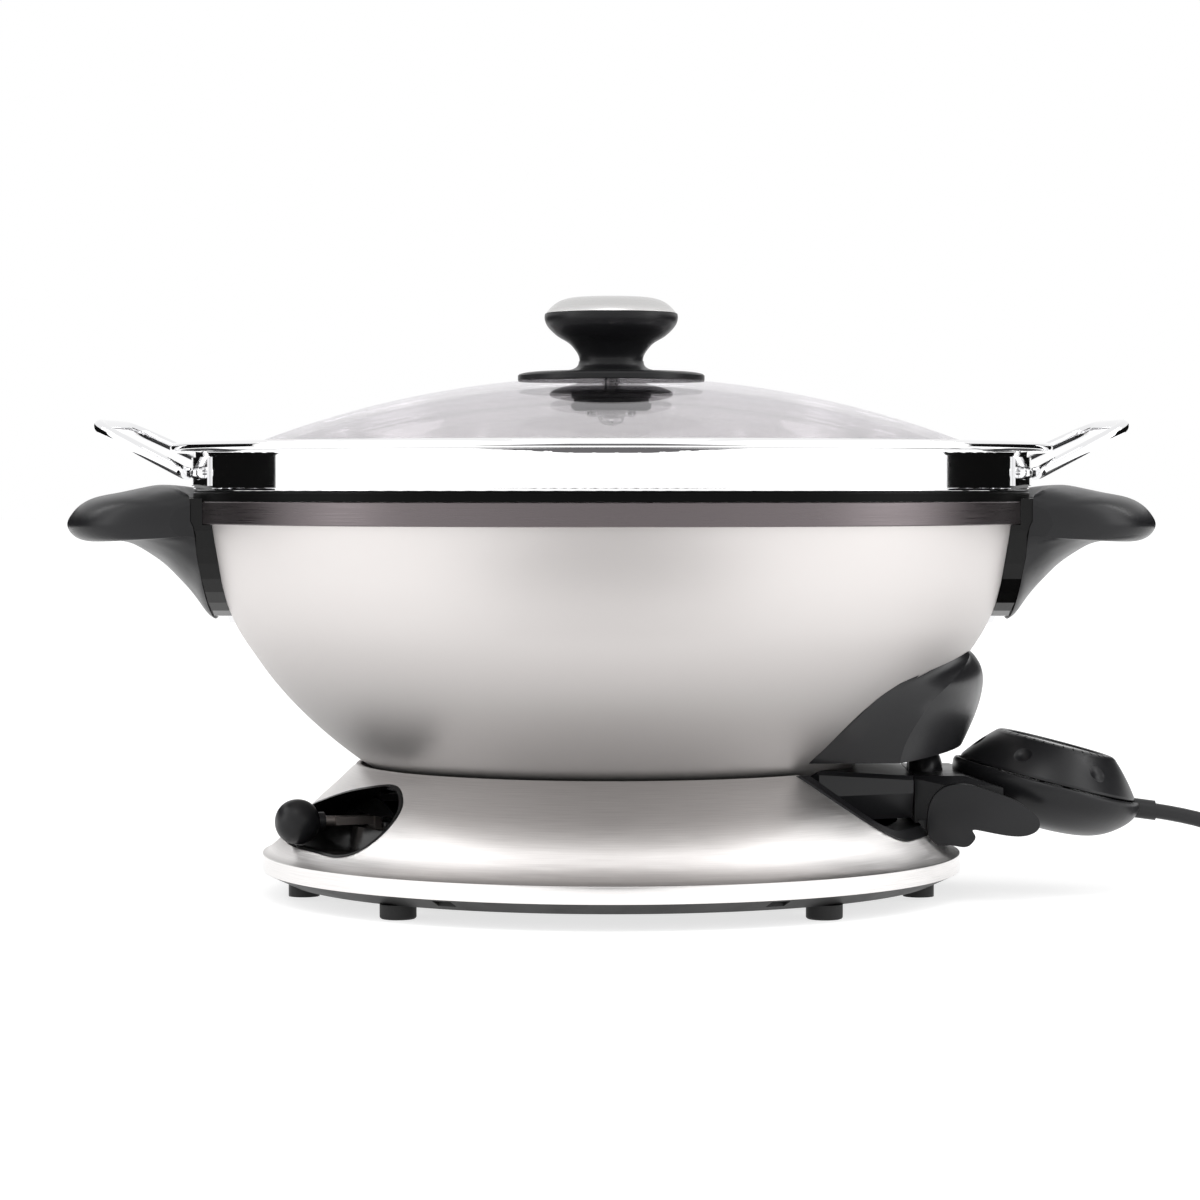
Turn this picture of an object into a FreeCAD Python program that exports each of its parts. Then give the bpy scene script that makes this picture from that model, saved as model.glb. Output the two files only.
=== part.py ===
import FreeCAD, Part
import os
import math
from FreeCAD import Vector as V

# Electric wok: flat-topped conical base, cast bowl with a plug-in temperature
# control, drop-in steamer tray and lift-off glass lid.
# Millimetres. +Z up, origin on the table under the base axis, the control on +X.

# ---------------------------------------------------------------- dimensions
SKIN = 0.9                    # stainless skin of the base
BASE_R = 160.0                # widest radius of the base band
BASE_TOP_R = 117.2            # outer corner of the base's top edge
BASE_TOP_Z = 60.0
BAND_LO, BAND_HI = 11.7, 19.3 # polished vertical band
COVER_Z = 6.4                 # underside of the black cover
FOOT_R, FOOT_PCD_R = 8.0, 143.0
DECK_LO, DECK_HI = 24.5, 27.0 # inner deck of the base
SEAT_R0, SEAT_R1, SEAT_Z = 88.0, 98.0, 40.0

RIM_R = 191.0                 # wok rim
RIM_LO, RIM_HI = 179.9, 184.2
BAND2_LO, BAND2_HI = 169.6, 179.7
WALL = 3.4                    # cast wall of the wok
BOTTOM_Z, BOTTOM_T = 56.0, 4.2

PIN_Z = 47.5                  # height of terminals and probe
PIN_Y = 12.0
PIN_R = 2.5

CUT_W, CUT_Z, CUT_R = 83.0, 31.5, 14.0   # right-hand cut-out: half width, sill, corner
LOCK_TRAVEL = 16.0            # degrees
LEVER_AZ = 202.0              # lever knob, degrees about Z from +X
KNOB_C = (150.8, 37.0)        # radius and height of the lever knob

TRAY_R = 190.6
TRAY_T = 0.9
TRAY_LEDGE = 184.2
TRAY_FLOOR = 148.0
TRAY_RIM_R, TRAY_RIM_LO, TRAY_RIM_HI = 201.5, 201.7, 206.0
LOOP_WIRE = 2.85
LOOP_TURN = 5.5               # the loops sit a little behind the side axis
LID_R = 185.5
DOME_R, DOME_TOP, GLASS = 450.0, 236.7, 4.0

DIAL_C = (200.9, 52.2)        # centre of the dial's lower face
DIAL_TILT = 14.4
DIAL_R0, DIAL_R1, DIAL_H = 41.0, 26.5, 17.0
EJECT_PIVOT = (154.0, 42.0)
EJECT_TRAVEL = 9.0

CORD_R = 3.5
COIL_C = (336.0, 62.0)
COIL_IN, COIL_OUT, COIL_H = 32.3, 46.7, 14.2

os.makedirs("parts", exist_ok=True)
shapes = {}


# ------------------------------------------------------------------- helpers
def spline(points, closed=False):
    c = Part.BSplineCurve()
    if closed:
        c.interpolate(points, PeriodicFlag=True)
    else:
        c.interpolate(points)
    return c


def rz(r, z):
    return V(r, 0, z)


def rev(*items, angle=360.0):
    """Solid of revolution about Z: items are ("L", pts) polylines or ("S", pts) splines, end to start."""
    edges = []
    first = last = None
    for kind, pts in items:
        p = [rz(*q) for q in pts]
        if last is not None and (p[0] - last).Length > 1e-6:
            edges.append(Part.LineSegment(last, p[0]).toShape())
        if kind == "S" and len(p) > 2:
            edges.append(spline(p).toShape())
        else:
            for a, b in zip(p, p[1:]):
                edges.append(Part.LineSegment(a, b).toShape())
        if first is None:
            first = p[0]
        last = p[-1]
    if (first - last).Length > 1e-6:
        edges.append(Part.LineSegment(last, first).toShape())
    face = Part.Face(Part.Wire(edges))
    s = face.revolve(V(0, 0, 0), V(0, 0, 1), angle)
    s = Part.Solid(s) if s.ShapeType != "Solid" else s
    if s.Volume < 0:
        s.reverse()
    return s


def prism(pts, normal, lo, hi, smooth=False):
    """Prism of a closed 2-D outline. normal z: (x, y); x: (y, z); y: (x, z)."""
    def at(p, d):
        if normal == "z":
            return V(p[0], p[1], d)
        if normal == "x":
            return V(d, p[0], p[1])
        return V(p[0], d, p[1])
    q = [at(p, lo) for p in pts]
    if smooth:
        w = Part.Wire([spline(q, True).toShape()])
    else:
        w = Part.makePolygon(q + [q[0]])
    d = {"z": V(0, 0, hi - lo), "x": V(hi - lo, 0, 0), "y": V(0, hi - lo, 0)}[normal]
    s = Part.Face(w).extrude(d)
    return s


def cyl(r, h, at, axis=(0, 0, 1)):
    return Part.makeCylinder(r, h, V(*at), V(*axis))


def box(x0, y0, z0, x1, y1, z1):
    return Part.makeBox(x1 - x0, y1 - y0, z1 - z0, V(x0, y0, z0))


def cut(a, *others):
    for o in others:
        a = a.cut(o)
    return a


def fuse(a, *others):
    for o in others:
        a = a.fuse(o)
    return a.removeSplitter()


def turned(s, deg, centre=(0, 0, 0), axis=(0, 0, 1)):
    t = s.copy()
    t.rotate(V(*centre), V(*axis), deg)
    return t


def mirrored_y(s):
    return s.mirror(V(0, 0, 0), V(0, 1, 0))


def mirrored_x(s):
    return s.mirror(V(0, 0, 0), V(1, 0, 0))


def group(*solids):
    out = []
    for s in solids:
        out.extend(s.Solids)
    return Part.makeCompound(out)


def one(s):
    """The one solid of a boolean's result: its largest."""
    return max(s.Solids, key=lambda q: q.Volume)


def save(name, s):
    if s.ShapeType == "Compound" and len(s.Solids) == 1:
        s = s.Solids[0]
    shapes[name] = s
    s.exportStep("parts/%s.step" % name)
    bb = s.BoundBox
    print("%-22s solids %2d valid %s vol %9.0f  x %7.1f %7.1f  y %7.1f %7.1f  z %6.1f %6.1f" % (
        name, len(s.Solids), s.isValid(), s.Volume, bb.XMin, bb.XMax, bb.YMin, bb.YMax, bb.ZMin, bb.ZMax))


def tube(points, r, share=0.45, report=""):
    """Round tube along straight runs joined by tangent arcs."""
    p = [V(*q) for q in points]
    edges, radii, length = [], [], 0.0
    start = p[0]
    for i in range(1, len(p) - 1):
        a, b = p[i - 1] - p[i], p[i + 1] - p[i]
        short = min(a.Length, b.Length)
        ua, ub = V(a).normalize(), V(b).normalize()
        turn = math.pi - ua.getAngle(ub)
        t = share * short
        rad = t / math.tan(turn / 2)
        radii.append(rad)
        s, e = p[i] + ua * t, p[i] + ub * t
        bis = (ua + ub).normalize()
        mid = p[i] + bis * (rad / math.cos(turn / 2) - rad)
        edges.append(Part.LineSegment(start, s).toShape())
        edges.append(Part.Arc(s, mid, e).toShape())
        start = e
    edges.append(Part.LineSegment(start, p[-1]).toShape())
    w = Part.Wire(edges)
    d = (p[1] - p[0]).normalize()
    prof = Part.Wire([Part.Circle(p[0], d, r).toShape()])
    s = w.makePipeShell([prof], True, False)
    s = Part.Solid(s) if s.ShapeType != "Solid" else s
    if s.Volume < 0:
        s.reverse()
    if report:
        print("%s: length %.1f radii %s volume %.0f section x length %.0f" % (
            report, w.Length, ["%.0f" % q for q in radii], s.Volume, math.pi * r * r * w.Length))
    return s


# ---------------------------------------------------------- base outer form
CONE = [(BASE_TOP_R, 59.4), (119.9, 57.0), (125.7, 51.5), (134.9, 43.2), (145.0, 32.9),
        (153.4, 23.9), (158.0, 20.3), (BASE_R, BAND_HI)]


def cone_curve():
    return spline([rz(*q) for q in CONE])


def cone_offset(off, n=14):
    """Points of the base cone moved out by off along its normal."""
    c = cone_curve()
    a, b = c.FirstParameter, c.LastParameter
    out = []
    for i in range(n + 1):
        u = a + (b - a) * i / n
        q, t = c.value(u), c.tangent(u)[0]
        nrm = V(-t.z, 0, t.x)
        if nrm.x < 0:
            nrm = nrm * -1
        out.append((q.x + nrm.x * off, q.z + nrm.z * off))
    return out


def cone_solid(off):
    """Everything inside the base's outer form moved out by off."""
    pts = cone_offset(off)
    r0, z0 = pts[0]
    r1, z1 = pts[-1]
    return rev(("L", [(0, 75), (max(r0 - 14.5, 1), z0 + 15.0)]), ("L", [(r0 - 0.0001, z0 + 0.0001), pts[0]]),
               ("S", pts), ("L", [(r1, z1), (r1, 0), (0, 0)]))


# ------------------------------------------------------------ wok outer form
BOWL = [(187.0, 169.4), (185.2, 160.0), (182.4, 150.0), (178.9, 140.0), (174.8, 130.3), (171.7, 123.3),
        (164.8, 112.2), (157.0, 101.2), (147.8, 90.2), (136.7, 79.1), (123.8, 68.1), (116.5, 62.6),
        (113.2, 60.3), (109.5, 58.1), (105.5, 56.7), (100.0, BOTTOM_Z + 0.15), (94.0, BOTTOM_Z)]


def bowl_offset(off, n=34):
    c = spline([rz(*q) for q in BOWL])
    a, b = c.FirstParameter, c.LastParameter
    out = []
    for i in range(n + 1):
        u = a + (b - a) * i / n
        q, t = c.value(u), c.tangent(u)[0]
        nrm = V(-t.z, 0, t.x)
        if nrm.z > 0:
            nrm = nrm * -1
        out.append((q.x + nrm.x * off, q.z + nrm.z * off))
    return out


def bowl_solid(off, top=190.0):
    """The whole space inside the wok's outer form moved out by off."""
    pts = bowl_offset(off)
    r, z = pts[0]
    return rev(("L", [(0, top), (r + 1.2, top), (r + 1.2, 171.0), (r, z)]), ("S", pts),
               ("L", [pts[-1], (0, pts[-1][1])]))


# =================================================================== THE BASE
inner_pts = cone_offset(-SKIN)
shell = rev(("L", [(BASE_TOP_R, 59.4)]), ("S", CONE), ("L", [(BASE_R, BAND_HI), (BASE_R, BAND_LO), (BASE_R - SKIN, BAND_LO),
            (BASE_R - SKIN, BAND_HI - 0.3)]), ("S", inner_pts[::-1]),
            ("L", [(115.9, 58.6), (115.8, 55.5), (114.9, 55.5), (114.9, 59.3), (115.3, 59.8), (116.2, BASE_TOP_Z), (116.9, 59.8), (BASE_TOP_R, 59.4)]))


def rounded_cut(w, z, r, top=75.0):
    """Outline (y, z) of the right-hand cut-out, open upwards."""
    pts = []
    for k in range(0, 7):
        a = math.radians(180 + 90 * k / 6)
        pts.append((-w + r + r * math.cos(a), z + r + r * math.sin(a)))
    for k in range(0, 7):
        a = math.radians(270 + 90 * k / 6)
        pts.append((w - r + r * math.cos(a), z + r + r * math.sin(a)))
    return [(-w, top)] + pts + [(w, top)]


notch = prism(rounded_cut(CUT_W, CUT_Z, CUT_R), "x", 60, 175)

# leaf-shaped opening of the release lever, drawn on a plane square to its own direction
LEAF_AZ = 198.0
LEAF = [(38.5, 33.0), (23.8, 42.5), (13.0, 44.9), (-12.7, 50.9), (-31.0, 54.1), (-43.6, 55.0), (-55.7, 50.7), (-64.7, 43.5),
        (-67.1, 37.1), (-66.2, 32.1), (-62.4, 27.6), (-56.1, 25.4), (-40.7, 25.3), (-19.8, 25.6), (2.1, 26.0), (22.0, 26.6), (34.0, 28.4)]


def leaf_prism(grow, lo, hi):
    cy = sum(p[0] for p in LEAF) / len(LEAF)
    cz = sum(p[1] for p in LEAF) / len(LEAF)
    pts = []
    n = len(LEAF)
    for i in range(n):
        a, b = LEAF[i - 1], LEAF[(i + 1) % n]
        tx, tz = b[0] - a[0], b[1] - a[1]
        L = math.hypot(tx, tz)
        nx, nz = tz / L, -tx / L
        if nx * (LEAF[i][0] - cy) + nz * (LEAF[i][1] - cz) < 0:
            nx, nz = -nx, -nz
        pts.append((LEAF[i][0] + nx * grow, LEAF[i][1] + nz * grow))
    # local frame: w runs along the tangent, +w away from the front; turned onto the base about Z
    q = [V(lo, -p[0], p[1]) for p in pts]
    w = Part.Wire([spline(q, True).toShape()])
    s = Part.Face(w).extrude(V(hi - lo, 0, 0))
    s.rotate(V(0, 0, 0), V(0, 0, 1), LEAF_AZ)
    return s


leaf_cut = leaf_prism(0.0, 90, 175)
shell = cut(shell, notch, leaf_cut)
save("base_shell", one(shell))

# inner moulding: wall behind the skin, deck, seat rib, collar
wall_out, wall_in = cone_offset(-SKIN - 0.1), cone_offset(-SKIN - 2.4)
wall_out = [q for q in wall_out if q[1] < 57.0]
wall_in = [q for q in wall_in if q[1] < 55.0 and q[1] > 26.5]
frame_out = [q for q in wall_out if q[1] > 25.5]
frame = rev(("L", [(116.0, 54.9), frame_out[0]]), ("L", frame_out), ("L", [(150.3, DECK_LO), (SEAT_R0 - 3, DECK_LO), (SEAT_R0 - 3, SEAT_Z - 2),
            (SEAT_R0, SEAT_Z), (SEAT_R1, SEAT_Z), (SEAT_R1, DECK_HI), (147.0, DECK_HI)]), ("L", wall_in[::-1]),
            ("L", [(115.6, 51.5), (107.0, 51.5), (107.0, 54.9)]))
boss_at = [(120 * math.cos(math.radians(a)), 120 * math.sin(math.radians(a))) for a in (45, 135, 225, 315)]
for bx, by in boss_at:
    frame = frame.fuse(cyl(5.0, 16.2, (bx, by, 8.9)))
    frame = frame.cut(cyl(1.55, 13.0, (bx, by, 8.9)))
notch_in = prism(rounded_cut(CUT_W + 0.1, CUT_Z - 0.1, CUT_R), "x", 100.5, 175)
sock_room = prism([(-72, 33.0), (72, 33.0), (72, 75), (-72, 75)], "x", 75, 175)
leaf_room = leaf_prism(1.7, 112, 175)
stem_room = rev(("L", [(104, 27.0), (152, 27.0), (152, 45), (104, 45)]), angle=44)
stem_room = turned(stem_room, 186)
trim_room = prism(rounded_cut(CUT_W + 1.8, CUT_Z - 1.8, CUT_R + 1.8), "x", 66, 175).common(cut(cone_solid(3.0), cone_solid(-9.3)))
frame = cut(frame, notch_in, sock_room, leaf_room, stem_room, trim_room)
save("base_frame", one(frame.removeSplitter()))

# black underside cover with moulded pads
cover = rev(("L", [(BASE_R - SKIN - 0.1, BAND_LO + 2.2), (BASE_R - SKIN - 0.1, BAND_LO - 0.05), (BASE_R, BAND_LO - 0.05), (148.6, COVER_Z),
            (0, COVER_Z), (0, COVER_Z + 2.4), (147.6, COVER_Z + 2.4), (157.0, BAND_LO + 2.2)]))
for a in (76, 104, -76, -104):
    px, py = FOOT_PCD_R * math.sin(math.radians(a)), -FOOT_PCD_R * math.cos(math.radians(a))
    cover = cover.fuse(cyl(7.0, COVER_Z - 1.5 + 0.5, (px, py, 1.5)))
for a in (27, -27, 153, -153):
    r = 156.6
    px, py = r * math.sin(math.radians(a)), -r * math.cos(math.radians(a))
    n = box(-4.5, -4, 8.0, 4.5, 4, 11.0)
    n.rotate(V(0, 0, 0), V(0, 0, 1), a)
    n.translate(V(px, py, 0))
    cover = cover.cut(n)
feet_xy = [(FOOT_PCD_R * math.sin(math.radians(a)), -FOOT_PCD_R * math.cos(math.radians(a))) for a in (40, -40, 140, -140)]
for px, py in feet_xy:
    cover = cover.cut(cyl(3.0, 4.0, (px, py, COVER_Z - 0.5)))
for bx, by in boss_at:
    cover = cover.cut(cyl(1.7, 6.0, (bx, by, COVER_Z - 1)))
for k in range(-5, 6):
    if k:
        cover = cover.cut(box(-42 + abs(k) * 3, k * 9 - 1.6, COVER_Z - 1, 42 - abs(k) * 3, k * 9 + 1.6, COVER_Z + 4))
save("bottom_cover", one(cover))

feet = []
for px, py in feet_xy:
    f = cyl(FOOT_R, COVER_Z - 0.02, (px, py, 0))
    f = f.makeFillet(1.2, [e for e in f.Edges if abs(e.BoundBox.ZMax) < 0.01 and e.Length > 40])
    f = f.fuse(cyl(2.95, 2.2, (px, py, COVER_Z - 0.1)))
    feet.append(f)
save("rubber_feet", group(*feet))

screws = []
for bx, by in boss_at:
    s = cyl(3.4, 1.9, (bx, by, COVER_Z - 1.95)).fuse(cyl(1.5, 12.0, (bx, by, COVER_Z - 0.1)))
    s = s.cut(box(bx - 2.4, by - 0.45, COVER_Z - 3, bx + 2.4, by + 0.45, COVER_Z - 1.1))
    s = s.cut(box(bx - 0.45, by - 2.4, COVER_Z - 3, bx + 0.45, by + 2.4, COVER_Z - 1.1))
    screws.append(s)
save("base_screws", group(*screws))

# black cup behind the leaf opening, with a slot for the lever
cup_outer = leaf_prism(1.5, 112, 175)
lip = cut(leaf_prism(-0.05, 112, 175), leaf_prism(-0.9, 112, 175))
lip = lip.common(cut(cone_solid(0.45), cone_solid(-4.0)))
back = cup_outer.common(cut(cone_solid(-SKIN - 0.1), cone_solid(-15.5)))
hollow = leaf_prism(-0.9, 112, 175).common(cut(cone_solid(5), cone_solid(-13.5)))
cup = back.cut(hollow).fuse(lip.common(cone_solid(0.45))).cut(hollow)
slot = turned(rev(("L", [(104, 34.4), (150, 34.4), (150, 39.6), (104, 39.6)]), angle=29), 193)
cup = cup.cut(slot)
save("release_recess", one(cup))

# black lining of the right-hand cut-out
ring = cut(prism(rounded_cut(CUT_W, CUT_Z, CUT_R), "x", 70, 175), prism(rounded_cut(CUT_W - 2.6, CUT_Z + 2.6, CUT_R - 2.6, 90), "x", 60, 180))
lining = ring.common(cut(cone_solid(0.9), cone_solid(-9.0)))
flange = cut(prism(rounded_cut(CUT_W + 1.6, CUT_Z - 1.6, CUT_R + 1.6), "x", 70, 175), prism(rounded_cut(CUT_W - 1.0, CUT_Z + 1.0, CUT_R - 1.0, 90), "x", 60, 180))
flange = flange.common(cut(cone_solid(0.9), cone_solid(0.03)))
lining = lining.fuse(flange).common(box(60, -100, 20, 180, 100, 59.6)).cut(bowl_solid(0.6))
save("cutout_trim", one(lining))

# clips that hold the lock ring down on the deck
clips = []
for a in (62, 150, 235, 300):
    c = box(112.6, -6, DECK_HI, 118.5, 6, 33.9).fuse(box(106.0, -6, 31.7, 118.5, 6, 33.9))
    c.rotate(V(0, 0, 0), V(0, 0, 1), a)
    clips.append(c)
save("ring_guides", group(*clips))

# ------------------------------------------------------------- release lock
ringp = rev(("L", [(101.0, DECK_HI + 0.3), (111.8, DECK_HI + 0.3), (111.8, 31.2), (101.0, 31.2)]))
for a in (90, 180, 270):
    k = turned(rev(("L", [(107.6, 31.0), (111.4, 31.0), (111.4, 49.4), (101.2, 49.4), (101.2, 46.2), (107.6, 46.2)]), angle=12), a - LOCK_TRAVEL - 6)
    ringp = ringp.fuse(k)
save("lock_ring", one(ringp.removeSplitter()))

arm = box(103, -9, 31.25, 116.0, 9, 33.4).fuse(box(113.0, -5, 31.25, 116.0, 5, 38.8)).fuse(box(113.0, -4, 35.2, 134.0, 4, 38.8)).fuse(
    cyl(2.9, 11.0, (131.0, 0, KNOB_C[1]), (1, 0, 0)).common(box(128, -5, 34.9, 145, 5, 39.1)))
for yy in (-5.4, 5.4):
    arm = arm.cut(cyl(1.5, 6, (108.0, yy, 30)))
arm = turned(arm, LEVER_AZ)
save("lever_arm", one(arm.removeSplitter()))
ls = []
for yy in (-5.4, 5.4):
    s = cyl(2.6, 1.6, (108.0, yy, 33.42)).fuse(cyl(1.45, 2.1, (108.0, yy, 31.4)))
    ls.append(turned(s, LEVER_AZ))
save("lever_screws", group(*ls))
kn = rev(("S", [(0, 9.8), (5.2, 8.7), (8.75, 5.2), (10.1, 0), (8.75, -5.2), (5.2, -8.7), (0, -9.8)]))
kn.rotate(V(0, 0, 0), V(0, 1, 0), 90)
kn.translate(V(KNOB_C[0], 0, KNOB_C[1]))
kn = kn.fuse(cyl(4.0, 5.0, (138.6, 0, KNOB_C[1]), (1, 0, 0))).cut(cyl(2.95, 10.0, (133.0, 0, KNOB_C[1]), (1, 0, 0)))
kn = turned(kn, LEVER_AZ)
save("lever_knob", one(kn))

# ==================================================================== THE WOK
out_pts = bowl_offset(0.0)
in_pts = [q for q in bowl_offset(-WALL) if q[1] > BOTTOM_Z + BOTTOM_T + 0.9 and q[1] < 166.5]
bowl = rev(("L", [(188.2, BAND2_LO - 0.1), (187.0, 169.4)]), ("S", out_pts), ("L", [out_pts[-1], (0, BOTTOM_Z)]),
           ("L", [(0, BOTTOM_Z + BOTTOM_T), (92.0, BOTTOM_Z + BOTTOM_T)]),
           ("S", [(92.0, BOTTOM_Z + BOTTOM_T), (99.0, BOTTOM_Z + BOTTOM_T + 0.5), (104.5, 62.4)] + in_pts[::-1] + [(184.4, 172.0), (184.6, 178.0)]),
           ("L", [(184.6, 178.0), (184.6, 183.2), (185.6, RIM_HI), (190.2, RIM_HI), (RIM_R, 183.4), (RIM_R, RIM_LO), (188.2, RIM_LO)]))
ridge = rev(("L", [(66.5, BOTTOM_Z + 0.5), (66.5, 49.0), (68.0, PIN_Z), (80.0, PIN_Z), (81.5, 49.0), (81.5, BOTTOM_Z + 0.5)]))
guide_boss = box(38.0, -7.0, 41.6, 84.0, 7.0, BOTTOM_Z + 0.5)
bowl = bowl.fuse(ridge).fuse(guide_boss)
bowl = bowl.cut(cyl(4.2, 60, (42.0, 0, PIN_Z), (1, 0, 0)))
studs_az = (60, 130, 180, 230, 300)
for a in studs_az:
    ca, sa = math.cos(math.radians(a)), math.sin(math.radians(a))
    bowl = bowl.fuse(cyl(4.0, 6.0, (86.0 * ca, 86.0 * sa, BOTTOM_Z - 5.5)))

# ring element brazed into the ridge, ends turned out to the terminals
er = 74.0
fr = 10.0
cx = math.sqrt((er + fr) ** 2 - (PIN_Y + fr) ** 2)
ang = math.atan2(PIN_Y + fr, cx)


def P(x, y):
    return V(x, y, PIN_Z)


def arc_pts(c, r, a0, a1):
    am = (a0 + a1) / 2
    return [P(c[0] + r * math.cos(a), c[1] + r * math.sin(a)) for a in (a0, am, a1)]


e1 = Part.LineSegment(P(88.0, PIN_Y), P(cx, PIN_Y)).toShape()
c1 = (cx, PIN_Y + fr)
e2 = Part.Arc(*arc_pts(c1, fr, -math.pi / 2, -math.pi + ang)).toShape()
e3 = Part.Arc(*arc_pts((0, 0), er, ang, math.pi)).toShape()
e4 = Part.Arc(*arc_pts((0, 0), er, math.pi, 2 * math.pi - ang)).toShape()
c2 = (cx, -PIN_Y - fr)
e5 = Part.Arc(*arc_pts(c2, fr, math.pi - ang, math.pi / 2)).toShape()
e6 = Part.LineSegment(P(cx, -PIN_Y), P(88.0, -PIN_Y)).toShape()
path = Part.Wire([e1, e2, e3, e4, e5, e6])


def element(r):
    prof = Part.Wire([Part.Circle(P(88.0, PIN_Y), V(-1, 0, 0), r).toShape()])
    s = path.makePipeShell([prof], True, False)
    s = Part.Solid(s) if s.ShapeType != "Solid" else s
    if s.Volume < 0:
        s.reverse()
    return s


bowl = one(bowl.cut(element(4.05)))
save("wok_bowl", bowl)
save("heating_element", element(4.0))
save("terminal_pins", group(*[cyl(PIN_R, 36.0, (88.05, y, PIN_Z), (1, 0, 0)) for y in (-PIN_Y, PIN_Y)]))
save("pin_insulators", group(*[cyl(5.4, 6.5, (88.4, y, PIN_Z), (1, 0, 0)).cut(cyl(PIN_R + 0.05, 10, (87, y, PIN_Z), (1, 0, 0))) for y in (-PIN_Y, PIN_Y)]))
save("probe_guide", cyl(4.15, 44.0, (44.0, 0, PIN_Z), (1, 0, 0)).cut(cyl(3.4, 43.0, (45.5, 0, PIN_Z), (1, 0, 0))))

rim = rev(("L", [(188.25, BAND2_LO), (190.6, BAND2_LO), (RIM_R, BAND2_LO + 0.4), (RIM_R, BAND2_HI - 0.4), (190.7, BAND2_HI), (188.25, BAND2_HI)]))
save("rim_band", rim)

# foot ring under the bowl, with three bayonet lugs; open on the control's side
foot = rev(("L", [(89.0, SEAT_Z + 0.02), (98.0, SEAT_Z + 0.02), (98.0, 55.0), (99.0, BOTTOM_Z - 0.05), (81.7, BOTTOM_Z - 0.05), (81.7, 53.5), (89.0, 53.5)]))
for a in (90, 180, 270):
    lug = turned(rev(("L", [(97.0, 42.4), (106.2, 42.4), (106.2, 45.6), (97.0, 45.6)]), angle=12), a - 6)
    foot = foot.fuse(lug)
foot = foot.cut(prism([(60, -66), (130, -90), (130, 90), (60, 66)], "z", 30, 70))
for a in studs_az:
    ca, sa = math.cos(math.radians(a)), math.sin(math.radians(a))
    foot = foot.cut(cyl(4.1, 20.0, (86.0 * ca, 86.0 * sa, BOTTOM_Z - 5.55)))
    foot = foot.cut(cyl(1.6, 20.0, (86.0 * ca, 86.0 * sa, 40)))
save("foot_ring", one(foot.removeSplitter()))
fs = []
for a in (130, 180, 230):
    ca, sa = math.cos(math.radians(a)), math.sin(math.radians(a))
    fs.append(cyl(2.85, 2.2, (86.0 * ca, 86.0 * sa, 48.2)))
save("foot_screws", group(*fs))

# socket housing: wedge under the bowl's edge that fills the base's cut-out
SOCK_Z0, SOCK_X1 = 37.5, 135.5
plan = [(85, -64), (92, -67), (SOCK_X1, -46), (SOCK_X1, 46), (92, 67), (85, 64)]
sock = prism(plan, "z", SOCK_Z0, 62)
top_cut = prism([(60, 61.6), (92, 60.6), (140, 56.2), (140, 80), (60, 80)], "y", -80, 80)
sock = sock.cut(top_cut)
for sgn in (-1, 1):
    # the lower half of the side leans inwards; a small bevel runs along the upper edge
    for tri in ([(73.6, 50.4), (65.5, 36.0), (86.0, 36.0), (86.0, 50.4)], [(70.6, 62.5), (73.4, 59.0), (86.0, 59.0), (86.0, 62.5)]):
        q = [V(80, sgn * a, b) for a, b in tri]
        drop = 0.0 if tri[0][1] < 60 else -5.4
        sock = sock.cut(Part.Face(Part.makePolygon(q + [q[0]])).extrude(V(60, sgn * -28.97, drop)))
inner = prism([(80, -52), (92, -53), (131, -35.0), (131, 35.0), (92, 53), (80, 52)], "z", SOCK_Z0 + 2.6, 53.4)
mouth = box(96, -31.5, 39.6, 150, 31.5, 53.6)
sock = sock.cut(inner).cut(mouth).cut(bowl_solid(0.05)).cut(cyl(99.2, 30, (0, 0, 30)))
wall_b = box(99.3, -40, 40.0, 102.3, 40, 53.5).cut(box(98, -9.5, 43.5, 104, 9.5, 51.5))
for y in (-PIN_Y, PIN_Y):
    wall_b = wall_b.cut(cyl(3.4, 10, (96, y, PIN_Z), (1, 0, 0)))
sock = fuse(one(sock), wall_b)
save("socket_housing", one(sock))

# hood above the socket: lofted through plan sections, cut to the bowl
HOOD = [(63.5, 158.0, 126.4, 80.2, 85.5, 81.0), (71.5, 162.2, 128.2, 82.0, 92.0, 88.5), (78.0, 165.2, 131.2, 82.0, 99.5, 93.0),
        (84.0, 167.6, 134.9, 81.0, 105.5, 96.3), (92.0, 169.9, 141.1, 76.5, 113.0, 98.0), (98.8, 170.6, 149.3, 67.5, 122.5, 95.5),
        (105.2, 169.2, 157.0, 51.0, 132.5, 89.5), (109.2, 166.6, 160.6, 41.0, 138.0, 87.0), (112.2, 163.2, 160.8, 36.5, 142.0, 83.5)]


def hood_loft(t, dz=0.0):
    wires = []
    for z, x0, xe, ye, xc, yc in HOOD:
        x0, xe, ye, yc = x0 - t, xe - 0.8 * t, ye - 0.9 * t, yc - 1.2 * t
        z = z - dz
        bx = 70.0
        a, b, c, d = V(bx, -yc, z), V(xc, -yc, z), V(xe, -ye, z), V(x0, 0, z)
        e, f, g = V(xe, ye, z), V(xc, yc, z), V(bx, yc, z)
        wires.append(Part.Wire([Part.LineSegment(a, b).toShape(), Part.LineSegment(b, c).toShape(), Part.Arc(c, d, e).toShape(),
                                Part.LineSegment(e, f).toShape(), Part.LineSegment(f, g).toShape(), Part.LineSegment(g, a).toShape()]))
    return Part.makeLoft(wires, True, False)


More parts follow.
